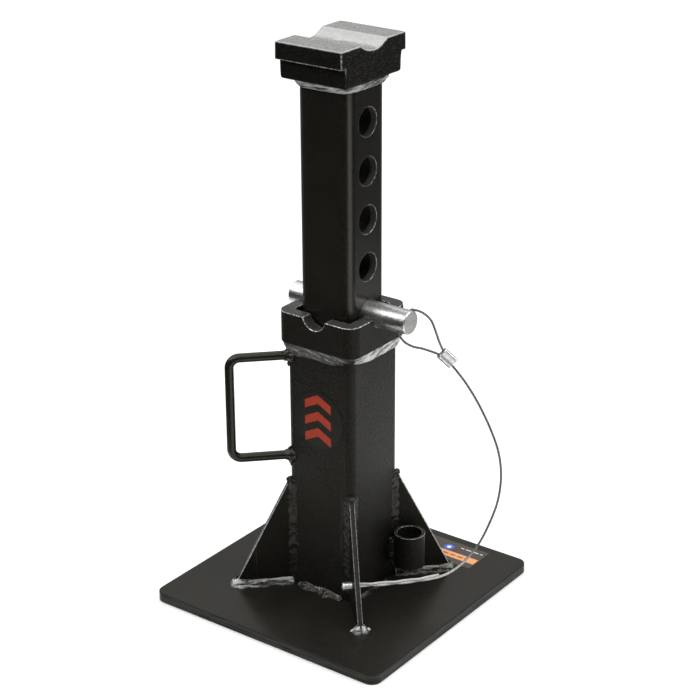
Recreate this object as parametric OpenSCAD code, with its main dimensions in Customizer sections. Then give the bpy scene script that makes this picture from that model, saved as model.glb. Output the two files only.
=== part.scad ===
// Pin-type axle jack stand: a welded square base, a telescoping column with a
// saddle, and a load pin on a wire lanyard.
// The floor is z = 0 and the column's axis is the Z axis. The support pin lies
// along X, and the four gussets stand on the diagonals.

/* [Base plate] */
// Side of the square plate
plate_w = 300; // [280:1:340]
// Thickness of the plate
plate_t = 11; // [8:0.5:14]
// Corner radius of the plate
plate_r = 12; // [4:1:20]

/* [Outer column] */
// Outer width of the square tube
outer_w = 86; // [85:0.5:88]
// Wall of the square tube
outer_wall = 6.5; // [6:0.5:7]
// Outer corner radius of the tube
outer_r = 9; // [6:0.5:11]

/* [Collar] */
// Outer width of the collar
collar_w = 100.5; // [98:0.5:110]
// Outer corner radius of the collar
collar_r = 14; // [8:1:20]
// Height of the collar
collar_h = 35; // [30:1:40]
// Height of the collar's top face above the floor
collar_top = 337.5; // [330:0.5:345]
// Radius of the half-round notches
notch_r = 14.4; // [14:0.1:15]

/* [Inner column] */
// Outer width of the square tube
inner_w = 66.5; // [60:0.5:67]
// Wall of the square tube
inner_wall = 8; // [5:0.5:9]
// Outer corner radius of the tube
inner_r = 12.5; // [10:0.5:14]
// Height of the tube's lower end above the floor, in the raised position
inner_bottom = 230; // [225:1:260]
// Number of cross holes
hole_count = 5; // [4:1:5]
// Distance between cross holes
hole_pitch = 51.8; // [48:0.1:53]
// Radius of the cross holes
hole_r = 15.5; // [15:0.1:16]
// Height of the lowest cross hole, which holds the pin
hole_low = 336.7; // [335.5:0.1:337]

/* [Saddle] */
// Length of the saddle along the pin's direction
saddle_len = 83; // [76:1:90]
// Width of the upper band
saddle_w = 109; // [100:1:120]
// Width of the lower band
saddle_low_w = 95; // [85:1:98]
// Height of the saddle's flat lands above the floor
saddle_top = 627; // [620:1:635]
// Height of the upper band
saddle_band_h = 18.5; // [15:0.5:22]
// Height of the lower band
saddle_low_h = 21; // [16:0.5:24]
// Width of the groove for the axle
groove_w = 46; // [40:1:60]
// Depth of the groove for the axle
groove_depth = 7.8; // [5:0.1:10]

/* [Support pin] */
// Radius of the pin
pin_r = 13; // [12:0.1:13]
// Length of the pin
pin_len = 151; // [145:1:160]
// Reach of the pin past the column's axis, on the lanyard's side
pin_reach = 88; // [86:1:92]

/* [Pin socket] */
// Outer radius of the socket
socket_r = 17; // [16.5:0.1:17]
// Bore radius of the socket
socket_bore = 14; // [13.5:0.1:14.5]
// Height of the socket
socket_h = 39.5; // [30:0.5:45]

/* [Gussets] */
// Thickness of the gusset plates
gusset_t = 5.5; // [4:0.5:6]
// Reach of a gusset's foot from the column's axis
gusset_reach = 122; // [110:1:130]
// Height of a gusset's top above the floor
gusset_top = 140; // [120:1:150]

/* [Carry handle] */
// Diameter of the handle's bar
bar_d = 10; // [8:0.5:12]
// Reach of the bar's centre line from the column's axis
handle_reach = 121.8; // [110:0.1:135]
// Height of the lower bar's centre line
handle_low = 167.5; // [160:0.5:180]
// Height of the upper bar's centre line
handle_high = 285; // [270:0.5:287]
// Bend radius of the bar's centre line
handle_bend = 11; // [9:1:14]

/* [Lanyard] */
// Diameter of the wire rope
wire_d = 2.6; // [1.5:0.1:3]

/* [Hidden] */

fine = 64;                      // facets of a whole circle
past = 1;                       // how far a cutter runs past what it cuts
air = 0.3;                      // clearance between pieces that move apart

paint = [0.11, 0.11, 0.10];
weld_paint = [0.2, 0.2, 0.19];
bare_steel = [0.75, 0.75, 0.73];
wire_grey = [0.5, 0.5, 0.48];

collar_low = collar_top - collar_h;
saddle_low = saddle_top - saddle_band_h - saddle_low_h;
// the column hangs on the pin, and the pin lies in the collar's notches
pin_z = hole_low + hole_r - pin_r - air;
notch_z = pin_z - pin_r - air + notch_r;
// distance from the column's axis to its rounded corner, along a diagonal
corner_d = (outer_w / 2 - outer_r) * sqrt(2) + outer_r;
gusset_d = corner_d + air;      // inner edge of a gusset
gusset_angles = [-45, -135, 45, 135];  // front, left, right, rear
handle_angle = -135;

// pin socket: tangent to the right gusset's near side, just off the column, and
// far enough out for a stored pin to pass the collar
socket_x = 64.3;
socket_y = 35.8;
socket_low = 32;

// lanyard: the free run hangs in a vertical plane that is square to the front
// gusset, through a hole in it. Its route is [distance from the gusset, height].
plane_d = 88.4;                 // distance of that plane from the column's axis
wire_hole_r = 3.2;
wire_hole_z = 49;
cable_route = [[-3.2, 48], [4, 48], [18, 47.5], [36, 47.5], [57, 48], [77, 49.5],
    [92, 52], [104, 57], [119, 69], [134, 89], [145, 113], [153, 138], [156, 166],
    [153, 194], [144, 222], [130, 253.5], [115.3, 279.5], [101.2, 299.5]];
tail_route = [[-3.2, 50.7], [4, 50.7], [18, 50.2], [36, 50.2], [57, 50.7], [76, 52.2],
    [90, 54.6]];
// closed end of the lanyard: from the ferrule, through the pin and back
pin_hole_x = 80;
pin_hole_tilt = 45;             // turn of the pin's cross hole about X
ferrule_mid = [95.7, 308.5];    // in the lanyard's plane
ferrule_tilt = 46;
ferrule_len = 18;
loop_route = [[123.7, -1.3, 313.5], [115, -4.2, 315.8], [106, -6, 317], [97, -8, 317.4],
    [88.5, -9.6, 320], [83.6, -10.3, 324], [80.6, -9.8, 328.8], [80, 0, 338.9],
    [80.5, 9.8, 348], [84, 12.8, 348.2], [88.5, 13.2, 348.1], [94, 12.4, 347.7],
    [101, 11.2, 345.8], [108, 9, 342.2], [114, 7, 334], [120.4, 4.3, 325], [126.8, 1.8, 317.8]];

// ---- shared shapes ----

module socket_outside()
    translate([socket_x, socket_y, socket_low])
        cylinder(r = socket_r, h = socket_h, $fn = fine);

module rounded_square(w, r) {
    square([w - 2 * r, w], center = true);
    square([w, w - 2 * r], center = true);
    for (x = [-1, 1], y = [-1, 1])
        translate([x * (w / 2 - r), y * (w / 2 - r)]) circle(r = r, $fn = fine);
}

module square_bar(w, r, z1, z2)
    translate([0, 0, z1]) linear_extrude(z2 - z1) rounded_square(w, r);

module square_tube(w, r, wall, z1, z2)
    translate([0, 0, z1]) linear_extrude(z2 - z1) difference() {
        rounded_square(w, r);
        rounded_square(w - 2 * wall, max(r - wall, 2));
    }

// a plate that stands on a diagonal, from an outline of [distance, height]
module upright_plate(angle, outline, t)
    rotate([0, 0, angle]) rotate([90, 0, 0])
        linear_extrude(t, center = true) polygon(outline);

// places children in the lanyard's plane: X along the run, Y up, Z to the viewer
module in_lanyard_plane()
    rotate([0, 0, 45]) translate([0, -plane_d, 0]) rotate([90, 0, 0]) children();

// ---- swept wire ----

function unit(v) = v / norm(v);

function blend_point(a, b, c, d, t) = 0.5 * (2 * b + (c - a) * t
    + (2 * a - 5 * b + 4 * c - d) * t * t + (3 * b - a - 3 * c + d) * t * t * t);

// a smooth curve through the route's points, in n steps from each to the next
function smooth_route(p, n) = concat([for (i = [0:len(p) - 2], k = [0:n - 1])
    blend_point(p[max(i - 1, 0)], p[i], p[i + 1], p[min(i + 2, len(p) - 1)], k / n)],
    [p[len(p) - 1]]);

function heading(p, i) = unit(p[min(i + 1, len(p) - 1)] - p[max(i - 1, 0)]);

// a round wire along the points p. side is a direction that p never follows.
module wire(p, side, d = wire_d) {
    sides = 8;
    ring = [for (i = [0:len(p) - 1])
        let (u = unit(cross(side, heading(p, i))), v = cross(heading(p, i), u))
        for (k = [0:sides - 1])
            p[i] + d / 2 * (cos(k * 360 / sides) * u + sin(k * 360 / sides) * v)];
    last = (len(p) - 1) * sides;
    polyhedron(ring, concat([[for (k = [0:sides - 1]) k]],
        [for (i = [0:len(p) - 2], k = [0:sides - 1])
            let (a = i * sides, b = a + sides, m = (k + 1) % sides)
            [a + m, a + k, b + k, b + m]],
        [[for (k = [sides - 1:-1:0]) last + k]]));
}

function raised(p) = [for (q = p) [q[0], q[1], 0]];

// ---- base ----

module base_plate()
    color(paint) linear_extrude(plate_t) rounded_square(plate_w, plate_r);

module outer_column()
    color(paint) square_tube(outer_w, outer_r, outer_wall, plate_t, collar_low);

module top_collar() {
    inside = outer_w - 2 * outer_wall;
    color(paint) difference() {
        square_bar(collar_w, collar_r, collar_low, collar_top);
        square_bar(inside, 4, collar_low - past, collar_top + past);
        for (a = [0, 90]) rotate([0, 0, a]) translate([0, 0, notch_z])
            rotate([90, 0, 0])
                cylinder(r = notch_r, h = collar_w + 2 * past, center = true, $fn = fine);
    }
}

module gusset(angle) {
    nose = 2.5;                 // blunt height of the foot's tip
    color(paint) upright_plate(angle, [[gusset_d, plate_t], [gusset_reach, plate_t],
        [gusset_reach, plate_t + nose], [gusset_d + 1.5, gusset_top],
        [gusset_d, gusset_top]], gusset_t);
}

module gusset_front()
    difference() {
        gusset(gusset_angles[0]);
        in_lanyard_plane() translate([0, wire_hole_z, 0]) rotate([0, 90, 0])
            cylinder(r = wire_hole_r, h = 4 * gusset_t, center = true, $fn = fine);
    }

module gusset_left() gusset(gusset_angles[1]);

module gusset_right() gusset(gusset_angles[2]);

module gusset_rear() gusset(gusset_angles[3]);

module carry_handle() {
    start = corner_d + air;
    bend_d = handle_reach - handle_bend;
    color(paint) rotate([0, 0, handle_angle]) {
        for (z = [handle_low, handle_high]) translate([start, 0, z])
            rotate([0, 90, 0]) cylinder(d = bar_d, h = bend_d - start, $fn = fine);
        translate([handle_reach, 0, handle_low + handle_bend])
            cylinder(d = bar_d, h = handle_high - handle_low - 2 * handle_bend, $fn = fine);
        translate([bend_d, 0, handle_high - handle_bend]) rotate([90, 0, 0])
            rotate_extrude(angle = 90, $fn = fine) translate([handle_bend, 0])
                circle(d = bar_d, $fn = fine);
        translate([bend_d, 0, handle_low + handle_bend]) rotate([90, 0, 0])
            rotate([0, 0, -90]) rotate_extrude(angle = 90, $fn = fine)
                translate([handle_bend, 0]) circle(d = bar_d, $fn = fine);
    }
}

module pin_socket()
    color(paint) translate([socket_x, socket_y, socket_low]) difference() {
        cylinder(r = socket_r, h = socket_h, $fn = fine);
        translate([0, 0, -past]) cylinder(r = socket_bore, h = socket_h + 2 * past, $fn = fine);
    }

// ---- welds ----

// a ring of weld under a wider part: full width at the top, flush at the bottom
module weld_ring(w, r, spread, z_top, h)
    difference() {
        hull() {
            square_bar(w + 2 * spread, r, z_top - 1, z_top, $fn = 32);
            square_bar(w + 1, r, z_top - h, z_top - h + 1, $fn = 32);
        }
        square_bar(w, r, z_top - h - past, z_top + past);
    }

module weld_collar()
    color(weld_paint) weld_ring(outer_w, outer_r, 6, collar_low, 11);

module weld_saddle()
    color(weld_paint) weld_ring(inner_w, inner_r, 6, saddle_low, 9);

module weld_column_base() {
    leg = 10;
    length = 56;
    color(weld_paint) for (a = [0:90:270]) rotate([0, 0, a])
        translate([0, -outer_w / 2, plate_t]) rotate([90, 0, 90])
            linear_extrude(length, center = true) polygon([[0, 0], [-leg, 0], [0, leg]]);
}

module weld_gusset_feet() {
    leg = 7;
    side = gusset_t / 2 + leg;
    tip = gusset_reach + leg;
    // the front gusset is welded at its tip only
    color(weld_paint) for (a = gusset_angles, inner = [a == -45 ? gusset_reach - 10 : 62])
        rotate([0, 0, a]) translate([0, 0, plate_t]) difference() {
            hull() {
                linear_extrude(0.5) polygon([[inner, -side], [gusset_reach - 4, -side],
                    [tip, -3], [tip, 3], [gusset_reach - 4, side], [inner, side]]);
                translate([inner, -gusset_t / 2 - 0.5])
                    cube([gusset_reach + 0.5 - inner, gusset_t + 1, leg]);
            }
            translate([0, -gusset_t / 2, -past])
                cube([gusset_reach, gusset_t, leg + 2 * past]);
        }
}

module weld_gusset_column() {
    low = plate_t + 7.5;
    half = gusset_t / 2;
    color(weld_paint) difference() {
        for (a = gusset_angles, side = [0, 1])
            rotate([0, 0, a]) mirror([0, side, 0]) translate([0, 0, low])
                linear_extrude(gusset_top + 1 - low)
                    polygon([[50, half], [65, half], [62, 5.5], [56, 9], [51.5, 10.5], [48, 8]]);
        square_bar(outer_w, outer_r, 0, collar_low);
        socket_outside();
    }
}

module weld_handle() {
    reach = 10;
    color(weld_paint) for (z = [handle_low, handle_high]) difference() {
        rotate([0, 0, handle_angle]) translate([corner_d - 4, 0, z]) rotate([0, 90, 0])
            difference() {
                cylinder(r1 = bar_d / 2 + 6, r2 = bar_d / 2 + 0.8, h = reach + 4, $fn = fine);
                translate([0, 0, -past])
                    cylinder(d = bar_d, h = reach + 4 + 2 * past, $fn = fine);
            }
        square_bar(outer_w, outer_r, 0, collar_low);
        weld_collar();
    }
}

module weld_socket()
    color(weld_paint) difference() {
        union() {
            translate([0, 0, socket_low + 4]) linear_extrude(28)
                polygon([[outer_w / 2, 21], [46, 21], [50, 25], [52, 32], [52, 35],
                    [outer_w / 2, 35]]);
            translate([0, 0, socket_low + 4]) linear_extrude(30)
                rotate([0, 0, gusset_angles[2]]) polygon([[69, -gusset_t / 2],
                    [80, -gusset_t / 2], [80, -5], [76, -9], [69, -5]]);
        }
        socket_outside();
        weld_gusset_column();
    }

// ---- decals ----

module round_decal() {
    across = 67;
    thick = 0.4;
    color([0.55, 0.17, 0.12]) translate([-1, -outer_w / 2, 220]) rotate([90, 0, 0])
        cylinder(d = across, h = thick, $fn = fine);
}

module safety_label()
    color([0.85, 0.45, 0.15]) translate([25, 95, plate_t]) cube([80, 43, 0.4]);

// ---- lanyard ----

module stop_ferrule() {
    r = 4.6;
    edge = 1;
    color(bare_steel) in_lanyard_plane() translate([-3.2, wire_hole_z, 0])
        rotate([0, -90, 0]) rotate_extrude($fn = fine)
            polygon([[0, 0], [r - edge, 0], [r, edge], [r, 10.5], [r - edge, 11.5], [0, 11.5]]);
}

module lanyard_tail()
    color(wire_grey) in_lanyard_plane() wire(raised(smooth_route(tail_route, 2)), [0, 0, 1]);

module lanyard_cable()
    color(wire_grey) in_lanyard_plane() wire(raised(smooth_route(cable_route, 3)), [0, 0, 1]);

module loop_ferrule() {
    barrel_r = 3.6;
    apart = 3.1;
    color(bare_steel) in_lanyard_plane() translate([ferrule_mid[0], ferrule_mid[1], 0])
        rotate([0, 0, -ferrule_tilt]) rotate([0, 90, 0])
            linear_extrude(ferrule_len, center = true) {
                square([2 * barrel_r - 1, 2 * apart], center = true);
                for (s = [-1, 1]) translate([0, s * apart]) circle(r = barrel_r, $fn = fine);
            }
}

module lanyard_loop()
    color(wire_grey) wire(smooth_route(loop_route, 2), [0, 1, 0.1]);

// ---- telescoping column ----

module inner_column()
    color(paint) difference() {
        square_tube(inner_w, inner_r, inner_wall, inner_bottom, saddle_low);
        for (i = [0:hole_count - 1]) translate([0, 0, hole_low + i * hole_pitch])
            rotate([0, 90, 0])
                cylinder(r = hole_r, h = inner_w + 2 * past, center = true, $fn = fine);
    }

module saddle() {
    steps = 24;
    half = groove_w / 2;
    band_low = saddle_top - saddle_band_h;
    groove = [for (i = [0:steps]) let (y = -half + groove_w * i / steps)
        [y, saddle_top - groove_depth * (1 - pow(y / half, 2))]];
    color([0.16, 0.16, 0.15]) rotate([90, 0, 90]) linear_extrude(saddle_len, center = true)
        polygon(concat([[-saddle_w / 2, band_low], [-saddle_w / 2, saddle_top]], groove,
            [[saddle_w / 2, saddle_top], [saddle_w / 2, band_low],
            [saddle_low_w / 2, band_low], [saddle_low_w / 2, saddle_low],
            [-saddle_low_w / 2, saddle_low], [-saddle_low_w / 2, band_low]]));
}

module support_pin() {
    edge = 1;
    color(bare_steel) translate([pin_reach - pin_len, 0, pin_z]) difference() {
        rotate([0, 90, 0]) rotate_extrude($fn = fine)
            polygon([[0, 0], [pin_r - edge, 0], [pin_r, edge], [pin_r, pin_len - edge],
                [pin_r - edge, pin_len], [0, pin_len]]);
        translate([pin_hole_x - pin_reach + pin_len, 0, 0]) rotate([-pin_hole_tilt, 0, 0])
            cylinder(d = wire_d + 1.5, h = 2 * pin_r + 2 * past, center = true, $fn = 32);
    }
}

base_plate();
outer_column();
top_collar();
gusset_front();
gusset_left();
gusset_right();
gusset_rear();
carry_handle();
pin_socket();
weld_collar();
weld_column_base();
weld_gusset_feet();
weld_gusset_column();
weld_handle();
weld_socket();
round_decal();
safety_label();
stop_ferrule();
lanyard_tail();
lanyard_cable();
inner_column();
saddle();
weld_saddle();
support_pin();
lanyard_loop();
loop_ferrule();
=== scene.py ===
import math

import bmesh
import bpy
import numpy as np
from mathutils import Matrix, Vector, noise


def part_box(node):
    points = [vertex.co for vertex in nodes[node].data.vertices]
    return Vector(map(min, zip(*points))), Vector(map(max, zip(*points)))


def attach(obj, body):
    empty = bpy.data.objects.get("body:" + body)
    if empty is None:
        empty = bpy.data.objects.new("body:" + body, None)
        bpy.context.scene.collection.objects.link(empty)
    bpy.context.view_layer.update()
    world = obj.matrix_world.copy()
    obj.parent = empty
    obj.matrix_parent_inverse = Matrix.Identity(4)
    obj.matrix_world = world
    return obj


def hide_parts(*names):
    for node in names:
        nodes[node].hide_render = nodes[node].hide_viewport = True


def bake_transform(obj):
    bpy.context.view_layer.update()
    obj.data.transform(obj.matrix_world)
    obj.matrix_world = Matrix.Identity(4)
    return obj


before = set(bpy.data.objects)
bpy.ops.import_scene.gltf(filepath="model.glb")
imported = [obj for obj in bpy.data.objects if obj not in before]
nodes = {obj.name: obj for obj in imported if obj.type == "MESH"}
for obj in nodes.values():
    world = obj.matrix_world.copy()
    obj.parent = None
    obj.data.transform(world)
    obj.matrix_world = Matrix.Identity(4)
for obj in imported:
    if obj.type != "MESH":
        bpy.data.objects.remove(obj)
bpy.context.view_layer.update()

scene = bpy.context.scene
MM = 0.001

# ---------------------------------------------------------------- camera

AZIMUTH, ELEVATION, ROLL = (math.radians(a) for a in (36.531, 23.105, -0.257))
TARGET = Vector((0.00975, 0.0, 0.289125))
DISTANCE = 2.022993
LENS = 97.85


def make_camera():
    back = Vector((math.sin(AZIMUTH) * math.cos(ELEVATION),
                   -math.cos(AZIMUTH) * math.cos(ELEVATION), math.sin(ELEVATION)))
    level = Vector((math.cos(AZIMUTH), math.sin(AZIMUTH), 0.0))
    rise = back.cross(level)
    right = level * math.cos(ROLL) + rise * math.sin(ROLL)
    up = rise * math.cos(ROLL) - level * math.sin(ROLL)
    data = bpy.data.cameras.new("camera")
    data.lens, data.sensor_width = LENS, 36.0
    data.clip_start, data.clip_end = 0.05, 50.0
    cam = bpy.data.objects.new("camera", data)
    scene.collection.objects.link(cam)
    turn = Matrix((right, up, back)).transposed().to_4x4()
    cam.matrix_world = Matrix.Translation(TARGET + back * DISTANCE) @ turn
    scene.camera = cam


make_camera()

# ---------------------------------------------------------------- sizes from the CAD

PLATE_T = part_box("base_plate")[1].z
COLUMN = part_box("outer_column")[1].x          # half the outer column's width
COLUMN_R = 9 * MM                             # its corner radius
COLLAR_LOW, COLLAR_HIGH = (corner.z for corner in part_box("top_collar"))
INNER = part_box("inner_column")[1].x           # half the inner column's width
INNER_R = 12.5 * MM                           # its corner radius
SADDLE_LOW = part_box("saddle")[0].z
GUSSET_HALF = 2.75 * MM                       # half a gusset's thickness
GUSSET_REACH = 122 * MM                       # from the column's axis
GUSSET_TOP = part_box("gusset_left")[1].z
CORNER_D = (COLUMN - COLUMN_R) * math.sqrt(2) + COLUMN_R    # from the axis to a corner
GUSSET_ANGLES = [math.radians(a) for a in (-45, -135, 45, 135)]
HOLE_LOW, HOLE_PITCH = 0.3367, 0.0518         # the lowest cross hole's height, their spacing
HOLE_R = 15.5 * MM
PIN_Z = 0.3389                                # the pin's axis above the floor
HANDLE_ENDS = (167.5 * MM, 285 * MM)          # the handle's ends above the floor
HANDLE_ALONG = np.array([math.cos(GUSSET_ANGLES[1]), math.sin(GUSSET_ANGLES[1]), 0])
RISE = np.array([0, 0, 1.0])                  # upward, as an array
UP = Vector(RISE)                             # and as a vector
DECAL_X, DECAL_Z, DECAL_R = -0.001, 0.220, 0.0335    # its centre and radius

# ---------------------------------------------------------------- node trees


def put(tree, socket, value):
    """Links another node's output to the socket, or sets its value."""
    if isinstance(value, bpy.types.NodeSocket):
        tree.links.new(value, socket)
    elif value is not None:
        socket.default_value = value


def new_node(tree, kind, inputs, **settings):
    """The outputs of a new node. inputs are its sockets' names or numbers with values."""
    n = tree.nodes.new("ShaderNode" + kind)
    for key, value in settings.items():
        setattr(n, key, value)
    for key, value in inputs.items():
        put(tree, n.inputs[key], value)
    return n.outputs


class Tree:
    """Short names for building a material's nodes."""

    def __init__(self, name):
        self.material = bpy.data.materials.new(name)
        self.material.use_nodes = True
        self.t = self.material.node_tree
        self.t.nodes.clear()
        self.shader = self.t.nodes.new("ShaderNodeBsdfPrincipled")
        self.made("OutputMaterial", {0: self.shader.outputs[0]})
        coordinates = self.made("TexCoord", {})
        self.place, self.normal = coordinates["Object"], coordinates["Normal"]

    def made(self, kind, inputs, **settings):
        return new_node(self.t, kind, inputs, **settings)

    def set(self, **values):
        for key, value in values.items():
            if key in ("Base_Color", "Specular_Tint") and isinstance(value, tuple):
                value = (*value, 1)
            put(self.t, self.shader.inputs[key.replace("_", " ")], value)

    def noise(self, scale, detail=2.0, rough=0.5, at=None, distortion=0.0):
        return self.made("TexNoise", {
            "Vector": at or self.place, "Scale": scale, "Detail": detail, "Roughness": rough,
            "Distortion": distortion})["Fac"]

    def cells(self, scale):
        return self.made("TexVoronoi", {"Vector": self.place, "Scale": scale})["Distance"]

    def stretched(self, x, y, z, turn=(0.0, 0.0, 0.0)):
        """Coordinates turned by degrees about each axis, then scaled."""
        at = self.place
        if any(turn):
            angles = [math.radians(a) for a in turn]
            at = self.made("Mapping", {"Vector": at, "Rotation": angles})[0]
        return self.made("Mapping", {"Vector": at, "Scale": (x, y, z)})[0]

    def attribute(self, name):
        return self.made("Attribute", {}, attribute_name=name)["Fac"]

    def span(self, value, a, b, c=0.0, d=1.0):
        """Takes a to b over to c to d, clamped."""
        return self.made("MapRange", dict(enumerate((value, a, b, c, d))))[0]

    def math(self, op, a, b=None):
        return self.made("Math", {0: a, 1: b}, operation=op)[0]

    def times(self, a, b):
        return self.math("MULTIPLY", a, b)

    def distance(self, x, y):
        return self.math("SQRT", self.math("ADD", self.times(x, x), self.times(y, y)))

    def mix(self, fac, a, b):
        a, b = (v if isinstance(v, bpy.types.NodeSocket) else (*v, 1) for v in (a, b))
        return self.made("Mix", {0: fac, 6: a, 7: b}, data_type="RGBA")[2]

    def split(self, vector):
        return self.made("SeparateXYZ", {0: vector})

    def facing_up(self, low=0.35, high=0.95):
        """0 on walls and undersides, 1 on level tops, in the piece's own space."""
        return self.span(self.split(self.normal)[2], low, high)

    def bump(self, *layers):
        """Each layer is (height, strength, distance in metres)."""
        normal = None
        for height, strength, distance in layers:
            inputs = {"Strength": strength, "Distance": distance, "Height": height}
            if normal is not None:
                inputs["Normal"] = normal
            normal = self.made("Bump", inputs)[0]
        put(self.t, self.shader.inputs["Normal"], normal)


WARM = (1.0, 0.97, 0.84)                      # the enamel's reflections are slightly warm


def paint_material(name, dark, light, rough, peel=0.35, top=None, specular=0.15, drawn=0.0):
    """Semi-gloss black enamel: cloudy colour and gloss, orange peel, dust specks, and with drawn,
    faint lengthwise lines from the rolling of the tube. With top, its level faces turn paler in
    patches: partly dust, partly painted light from above."""
    m = Tree(name)
    cloud = m.noise(14, 4, 0.6)
    mottle = m.noise(480, 3, 0.6)
    colour = m.mix(m.span(cloud, 0.35, 0.7), dark, light)
    colour = m.mix(m.span(mottle, 0.42, 0.72, 0.0, 0.6), colour, (0.018, 0.0172, 0.0145))
    specks = m.span(m.cells(210), 0.055, 0.035)
    colour = m.mix(m.times(specks, 0.16), colour, (0.16, 0.155, 0.145))
    if drawn:
        line = m.span(m.noise(260, 2, 0.4, at=m.stretched(1, 1, 0.012)), 0.66, 0.74)
        broken = m.span(m.noise(30, 3, 0.6), 0.40, 0.60)
        line = m.times(line, broken)
        colour = m.mix(m.times(line, drawn), colour, (0.05, 0.049, 0.045))
    # painted light from above, with some dust: level faces turn paler in patches
    if top is not None:
        patches = m.noise(26, 5, 0.62, distortion=0.5)
        dust_and_top_light = m.times(m.facing_up(), m.span(patches, 0.32, 0.68, 0.45, 1.0))
        colour = m.mix(dust_and_top_light, colour, top)
    streak = m.noise(9, 3, 0.55, at=m.stretched(1, 1, 0.25))
    roughness = m.span(streak, 0.3, 0.75, rough - 0.05, rough + 0.07)
    m.set(Base_Color=colour, Roughness=roughness, Specular_IOR_Level=specular,
          Specular_Tint=WARM)
    m.bump((mottle, peel, 0.0008), (m.noise(1500, 2, 0.6), peel * 0.5, 0.0002))
    return m.material


def worn_edge_material(name, base, bright, share=0.5, scale=320.0, rough=0.38, specular=0.5):
    """Enamel that is rubbed thin and chipped along an edge."""
    m = Tree(name)
    chips = m.span(m.noise(scale, 5, 0.7, distortion=0.6), share, share + 0.12)
    m.set(Base_Color=m.mix(chips, base, bright), Roughness=rough, Specular_IOR_Level=specular,
          Metallic=m.times(chips, 0.5))
    m.bump((m.noise(scale * 2, 3, 0.6), 0.3, 0.0003))
    return m.material


def sawn_material(name, dark, light, specular=0.3, level=1.0):
    """Sawn and painted steel with a coarse grain. A low level draws it out into level lines."""
    m = Tree(name)
    grain = m.noise(620, 4, 0.7, at=m.stretched(level, level, 1 if level == 1 else 0.7))
    colour = m.mix(m.span(grain, 0.35, 0.7), dark, light)
    m.set(Base_Color=colour, Roughness=m.span(grain, 0.3, 0.7, 0.30, 0.50),
          Specular_IOR_Level=specular, Specular_Tint=WARM)
    m.bump((grain, 0.7, 0.0006), (m.noise(1800, 2, 0.6), 0.4, 0.0002))
    return m.material


def weld_material(name, light, bright, share, gloss=0.22, specular=0.45, strokes=(0.45, 0.45, 1),
                  turn=(0, 0, 0), grain=0.35, up=(-0.15, 0.75), corner=None, twirl=1.2):
    """Glossy enamel over a weld: black in the hollows, with pale streaks on top and scattered
    glints, both painted highlights. light is the paint's colour on its crests, bright the colour
    of the painted highlight streaks, and share how much of an upward face stays dark. With corner,
    the painted highlight streaks fade at a square's corners."""
    m = Tree(name)
    patch = m.noise(130, 4, 0.6, distortion=1.2)
    fine = m.noise(620, 4, 0.7)
    streak = m.noise(170, 4, 0.65, at=m.stretched(*strokes, turn), distortion=twirl)
    body = m.mix(m.span(patch, 0.5, 0.7), (0.005, 0.0048, 0.004), light)
    # painted highlight: pale streaks on the faces that turn upward
    upper = m.times(m.facing_up(*up), m.span(streak, share, share + 0.16))
    upper = m.times(upper, m.span(fine, 0.3, 0.55, 1 - 1.3 * grain, 1.0))
    if corner:
        x, y, _ = m.split(m.place)
        off = m.math("SUBTRACT", m.math("ABSOLUTE", x), m.math("ABSOLUTE", y))
        off = m.math("ABSOLUTE", off)
        upper = m.times(upper, m.span(off, 0.002, corner, 0.12, 1.0))
    glint = m.times(m.span(m.cells(430), 0.14, 0.08), m.span(patch, 0.42, 0.6))
    glint = m.times(glint, min(1.0, grain * 3))
    colour = m.mix(m.times(glint, 0.5), m.mix(upper, body, bright), bright)
    m.set(Base_Color=colour, Roughness=m.span(fine, 0.3, 0.7, gloss, gloss + 0.2),
          Specular_IOR_Level=specular, Specular_Tint=WARM)
    m.bump((patch, 0.5, 0.0012), (streak, 0.5, 0.0010), (fine, grain, 0.0004))
    return m.material


def cast_material():
    """Enamel over a sand casting: grain with painted glints, more of them on the faces toward ±x;
    pale along its edges, partly wear and partly painted highlight; greyed on its upward faces,
    partly wear on the lands that carry load and partly painted light from above; and paler on the
    sloping faces of the groove, partly rubbed smooth and partly painted light."""
    m = Tree("cast_paint")
    grain = m.noise(760, 3, 0.75)
    lump = m.noise(240, 4, 0.6)
    rise = m.split(m.normal)[2]
    body = m.mix(m.span(grain, 0.50, 0.75), (0.0028, 0.0026, 0.002), (0.010, 0.0097, 0.0082))
    # painted glints in the grain, stronger on the faces toward ±x
    sparkle = m.times(m.span(m.cells(520), 0.30, 0.16), m.span(lump, 0.30, 0.62))
    ends = m.math("ABSOLUTE", m.split(m.normal)[0])
    sparkle = m.times(sparkle, m.span(ends, 0.3, 0.9, 0.12, 0.36))
    body = m.mix(sparkle, body, (0.24, 0.238, 0.222))
    # painted light from above, partly wear: upward faces grey
    worn_and_lit_land = m.mix(m.span(grain, 0.36, 0.64), (0.10, 0.0995, 0.096), (0.36, 0.358, 0.35))
    rubbed = m.mix(m.span(lump, 0.3, 0.7), (0.40, 0.398, 0.39), (0.50, 0.498, 0.49))
    # partly rubbed smooth, partly painted light: sloping upward faces, as in the groove, paler
    # still
    worn = m.times(m.span(rise, 0.55, 0.8), m.span(rise, 0.995, 0.955))
    colour = m.mix(m.span(rise, 0.45, 0.7), body, m.mix(worn, worn_and_lit_land, rubbed))
    # partly wear, partly painted highlight: pale chips along the edges
    chips = m.times(m.attribute("edge_wear_and_highlight"), m.span(m.noise(520, 4, 0.7), 0.40, 0.56))
    colour = m.mix(m.times(chips, 0.8), colour, (0.46, 0.458, 0.445))
    m.set(Base_Color=colour, Roughness=m.span(lump, 0.3, 0.7, 0.46, 0.6), Specular_IOR_Level=0.13,
          Specular_Tint=WARM)
    m.bump((grain, 0.6, 0.0006), (lump, 0.3, 0.0008))
    return m.material


LATHE_RINGS = 6300.0                          # radians per metre, on the pin's ends


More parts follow.
